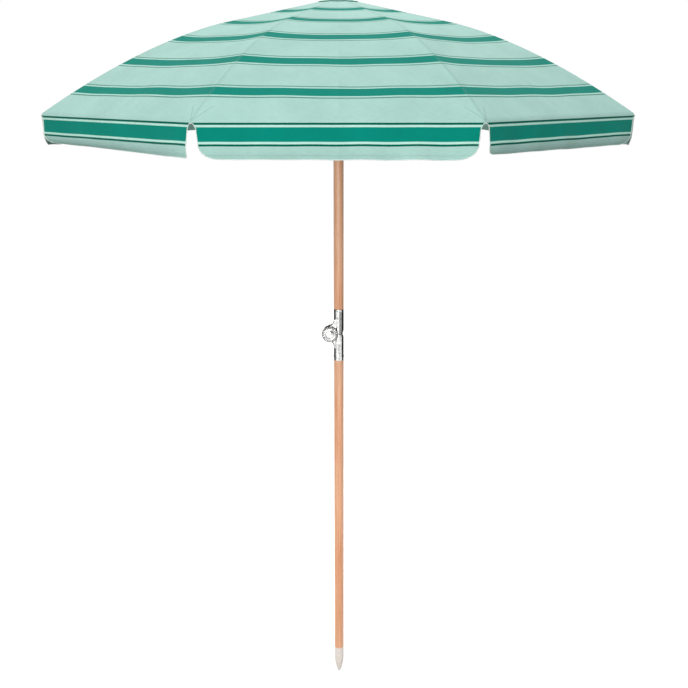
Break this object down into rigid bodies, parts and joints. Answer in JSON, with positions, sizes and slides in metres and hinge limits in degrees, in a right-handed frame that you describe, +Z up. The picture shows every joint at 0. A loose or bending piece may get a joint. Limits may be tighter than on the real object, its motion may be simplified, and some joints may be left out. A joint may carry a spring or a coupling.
{
  "type": "beach umbrella",
  "caption": "Striped valanced canopy on folding steel ribs, with a sliding runner, a push-button tilt joint and a two-part wooden pole with a ground spike.",
  "frame": {"origin": "point of the ground spike, on the axis of the pole", "axes": "+Z up the pole, -Y the front with the tilt button, -X the side that the canopy tilts towards; canopy open and upright"},
  "size_m": [1.5448, 1.5448, 2.1802],
  "materials": {
    "wood": "satin varnished beech",
    "chrome": "bright plated steel",
    "steel": "zinc-plated spring steel wire",
    "white_plastic": "moulded off-white plastic",
    "canopy_cloth": "woven polyester, mint with dark teal stripes parallel to the rim"
  },
  "bodies": {
    "lower_pole": {"ground_tip": "white_plastic", "tip_pin": "steel", "lower_pole": "wood", "lower_ferrule": "chrome", "lower_rivet": "chrome", "pivot_sleeve": "steel", "ratchet_disc": "chrome", "button_spring": "steel"},
    "tilt_button": {"tilt_button": "chrome"},
    "upper_pole": {"upper_ferrule": "chrome", "upper_rivet_1": "chrome", "upper_rivet_2": "chrome", "upper_pole": "wood", "crown": "steel", "crown_ring": "steel", "finial": "white_plastic", "catch_pin": "steel"},
    "runner": {"runner": "white_plastic"},
    "catch": {"catch_lever": "steel"},
    "rib_1": {"rib_1": "steel", "rib_tip_1": "white_plastic", "canopy_gore_1": "canopy_cloth"},
    "stretcher_1": {"stretcher_1": "steel"},
    "valance_1": {"valance_flap_1": "canopy_cloth"},
    "rib_2": {"rib_2": "steel", "rib_tip_2": "white_plastic", "canopy_gore_2": "canopy_cloth"},
    "stretcher_2": {"stretcher_2": "steel"},
    "valance_2": {"valance_flap_2": "canopy_cloth"},
    "rib_3": {"rib_3": "steel", "rib_tip_3": "white_plastic", "canopy_gore_3": "canopy_cloth"},
    "stretcher_3": {"stretcher_3": "steel"},
    "valance_3": {"valance_flap_3": "canopy_cloth"},
    "rib_4": {"rib_4": "steel", "rib_tip_4": "white_plastic", "canopy_gore_4": "canopy_cloth"},
    "stretcher_4": {"stretcher_4": "steel"},
    "valance_4": {"valance_flap_4": "canopy_cloth"},
    "rib_5": {"rib_5": "steel", "rib_tip_5": "white_plastic", "canopy_gore_5": "canopy_cloth"},
    "stretcher_5": {"stretcher_5": "steel"},
    "valance_5": {"valance_flap_5": "canopy_cloth"},
    "rib_6": {"rib_6": "steel", "rib_tip_6": "white_plastic", "canopy_gore_6": "canopy_cloth"},
    "stretcher_6": {"stretcher_6": "steel"},
    "valance_6": {"valance_flap_6": "canopy_cloth"},
    "rib_7": {"rib_7": "steel", "rib_tip_7": "white_plastic", "canopy_gore_7": "canopy_cloth"},
    "stretcher_7": {"stretcher_7": "steel"},
    "valance_7": {"valance_flap_7": "canopy_cloth"},
    "rib_8": {"rib_8": "steel", "rib_tip_8": "white_plastic", "canopy_gore_8": "canopy_cloth"},
    "stretcher_8": {"stretcher_8": "steel"},
    "valance_8": {"valance_flap_8": "canopy_cloth"}
  },
  "joints": [
    {"name": "tilt_hinge", "type": "hinge", "parent": "lower_pole", "child": "upper_pole", "pos_m": [-0.027, 0, 1.177], "axis": [0, -1, 0], "range_deg": [0, 90]},
    {"name": "tilt_release", "type": "slide", "parent": "lower_pole", "child": "tilt_button", "axis": [0, 1, 0], "range_m": [0, 0.004], "stiffness_N_per_m": 800, "springref_m": -0.004, "deforming": ["button_spring"]},
    {"name": "runner_slide", "type": "slide", "parent": "upper_pole", "child": "runner", "axis": [0, 0, -1], "range_m": [0, 0.5032], "deforming": ["canopy_gore_1", "valance_flap_1", "canopy_gore_2", "valance_flap_2", "canopy_gore_3", "valance_flap_3", "canopy_gore_4", "valance_flap_4", "canopy_gore_5", "valance_flap_5", "canopy_gore_6", "valance_flap_6", "canopy_gore_7", "valance_flap_7", "canopy_gore_8", "valance_flap_8"]},
    {"name": "catch_press", "type": "hinge", "parent": "upper_pole", "child": "catch", "pos_m": [0, -0.009, 1.7296], "axis": [-1, 0, 0], "range_deg": [0, 5.5], "stiffness_Nm_per_rad": 0.5, "springref_deg": -8.59, "deforming": ["catch_lever"]},
    {"name": "rib_fold_1", "type": "hinge", "parent": "upper_pole", "child": "rib_1", "pos_m": [0.00689, -0.01663, 2.145], "axis": [0.9239, 0.3827, 0], "range_deg": [0, 66.5]},
    {"name": "stretcher_fold_1", "type": "hinge", "parent": "rib_1", "child": "stretcher_1", "pos_m": [0.15307, -0.36955, 2.05104], "axis": [-0.9239, -0.3827, 0], "range_deg": [0, 119.06]},
    {"name": "valance_swing_1", "type": "hinge", "parent": "rib_1", "child": "valance_1", "pos_m": [0.31992, -0.77236, 1.846], "axis": [-0.9239, -0.3827, 0], "range_deg": [0, 66.5]},
    {"name": "rib_fold_2", "type": "hinge", "parent": "upper_pole", "child": "rib_2", "pos_m": [0.01663, -0.00689, 2.145], "axis": [0.3827, 0.9239, 0], "range_deg": [0, 66.5]},
    {"name": "stretcher_fold_2", "type": "hinge", "parent": "rib_2", "child": "stretcher_2", "pos_m": [0.36955, -0.15307, 2.05104], "axis": [-0.3827, -0.9239, 0], "range_deg": [0, 119.06]},
    {"name": "valance_swing_2", "type": "hinge", "parent": "rib_2", "child": "valance_2", "pos_m": [0.77236, -0.31992, 1.846], "axis": [-0.3827, -0.9239, 0], "range_deg": [0, 66.5]},
    {"name": "rib_fold_3", "type": "hinge", "parent": "upper_pole", "child": "rib_3", "pos_m": [0.01663, 0.00689, 2.145], "axis": [-0.3827, 0.9239, 0], "range_deg": [0, 66.5]},
    {"name": "stretcher_fold_3", "type": "hinge", "parent": "rib_3", "child": "stretcher_3", "pos_m": [0.36955, 0.15307, 2.05104], "axis": [0.3827, -0.9239, 0], "range_deg": [0, 119.06]},
    {"name": "valance_swing_3", "type": "hinge", "parent": "rib_3", "child": "valance_3", "pos_m": [0.77236, 0.31992, 1.846], "axis": [0.3827, -0.9239, 0], "range_deg": [0, 66.5]},
    {"name": "rib_fold_4", "type": "hinge", "parent": "upper_pole", "child": "rib_4", "pos_m": [0.00689, 0.01663, 2.145], "axis": [-0.9239, 0.3827, 0], "range_deg": [0, 66.5]},
    {"name": "stretcher_fold_4", "type": "hinge", "parent": "rib_4", "child": "stretcher_4", "pos_m": [0.15307, 0.36955, 2.05104], "axis": [0.9239, -0.3827, 0], "range_deg": [0, 119.06]},
    {"name": "valance_swing_4", "type": "hinge", "parent": "rib_4", "child": "valance_4", "pos_m": [0.31992, 0.77236, 1.846], "axis": [0.9239, -0.3827, 0], "range_deg": [0, 66.5]},
    {"name": "rib_fold_5", "type": "hinge", "parent": "upper_pole", "child": "rib_5", "pos_m": [-0.00689, 0.01663, 2.145], "axis": [-0.9239, -0.3827, 0], "range_deg": [0, 66.5]},
    {"name": "stretcher_fold_5", "type": "hinge", "parent": "rib_5", "child": "stretcher_5", "pos_m": [-0.15307, 0.36955, 2.05104], "axis": [0.9239, 0.3827, 0], "range_deg": [0, 119.06]},
    {"name": "valance_swing_5", "type": "hinge", "parent": "rib_5", "child": "valance_5", "pos_m": [-0.31992, 0.77236, 1.846], "axis": [0.9239, 0.3827, 0], "range_deg": [0, 66.5]},
    {"name": "rib_fold_6", "type": "hinge", "parent": "upper_pole", "child": "rib_6", "pos_m": [-0.01663, 0.00689, 2.145], "axis": [-0.3827, -0.9239, 0], "range_deg": [0, 66.5]},
    {"name": "stretcher_fold_6", "type": "hinge", "parent": "rib_6", "child": "stretcher_6", "pos_m": [-0.36955, 0.15307, 2.05104], "axis": [0.3827, 0.9239, 0], "range_deg": [0, 119.06]},
    {"name": "valance_swing_6", "type": "hinge", "parent": "rib_6", "child": "valance_6", "pos_m": [-0.77236, 0.31992, 1.846], "axis": [0.3827, 0.9239, 0], "range_deg": [0, 66.5]},
    {"name": "rib_fold_7", "type": "hinge", "parent": "upper_pole", "child": "rib_7", "pos_m": [-0.01663, -0.00689, 2.145], "axis": [0.3827, -0.9239, 0], "range_deg": [0, 66.5]},
    {"name": "stretcher_fold_7", "type": "hinge", "parent": "rib_7", "child": "stretcher_7", "pos_m": [-0.36955, -0.15307, 2.05104], "axis": [-0.3827, 0.9239, 0], "range_deg": [0, 119.06]},
    {"name": "valance_swing_7", "type": "hinge", "parent": "rib_7", "child": "valance_7", "pos_m": [-0.77236, -0.31992, 1.846], "axis": [-0.3827, 0.9239, 0], "range_deg": [0, 66.5]},
    {"name": "rib_fold_8", "type": "hinge", "parent": "upper_pole", "child": "rib_8", "pos_m": [-0.00689, -0.01663, 2.145], "axis": [0.9239, -0.3827, 0], "range_deg": [0, 66.5]},
    {"name": "stretcher_fold_8", "type": "hinge", "parent": "rib_8", "child": "stretcher_8", "pos_m": [-0.15307, -0.36955, 2.05104], "axis": [-0.9239, 0.3827, 0], "range_deg": [0, 119.06]},
    {"name": "valance_swing_8", "type": "hinge", "parent": "rib_8", "child": "valance_8", "pos_m": [-0.31992, -0.77236, 1.846], "axis": [-0.9239, 0.3827, 0], "range_deg": [0, 66.5]}
  ],
  "couplings": [
    {"joint": "rib_fold_1", "follows": "runner_slide", "rad_per_m": 2.3065},
    {"joint": "stretcher_fold_1", "follows": "runner_slide", "rad_per_m": 4.1294},
    {"joint": "valance_swing_1", "follows": "runner_slide", "rad_per_m": 2.3065},
    {"joint": "rib_fold_2", "follows": "runner_slide", "rad_per_m": 2.3065},
    {"joint": "stretcher_fold_2", "follows": "runner_slide", "rad_per_m": 4.1294},
    {"joint": "valance_swing_2", "follows": "runner_slide", "rad_per_m": 2.3065},
    {"joint": "rib_fold_3", "follows": "runner_slide", "rad_per_m": 2.3065},
    {"joint": "stretcher_fold_3", "follows": "runner_slide", "rad_per_m": 4.1294},
    {"joint": "valance_swing_3", "follows": "runner_slide", "rad_per_m": 2.3065},
    {"joint": "rib_fold_4", "follows": "runner_slide", "rad_per_m": 2.3065},
    {"joint": "stretcher_fold_4", "follows": "runner_slide", "rad_per_m": 4.1294},
    {"joint": "valance_swing_4", "follows": "runner_slide", "rad_per_m": 2.3065},
    {"joint": "rib_fold_5", "follows": "runner_slide", "rad_per_m": 2.3065},
    {"joint": "stretcher_fold_5", "follows": "runner_slide", "rad_per_m": 4.1294},
    {"joint": "valance_swing_5", "follows": "runner_slide", "rad_per_m": 2.3065},
    {"joint": "rib_fold_6", "follows": "runner_slide", "rad_per_m": 2.3065},
    {"joint": "stretcher_fold_6", "follows": "runner_slide", "rad_per_m": 4.1294},
    {"joint": "valance_swing_6", "follows": "runner_slide", "rad_per_m": 2.3065},
    {"joint": "rib_fold_7", "follows": "runner_slide", "rad_per_m": 2.3065},
    {"joint": "stretcher_fold_7", "follows": "runner_slide", "rad_per_m": 4.1294},
    {"joint": "valance_swing_7", "follows": "runner_slide", "rad_per_m": 2.3065},
    {"joint": "rib_fold_8", "follows": "runner_slide", "rad_per_m": 2.3065},
    {"joint": "stretcher_fold_8", "follows": "runner_slide", "rad_per_m": 4.1294},
    {"joint": "valance_swing_8", "follows": "runner_slide", "rad_per_m": 2.3065}
  ]
}
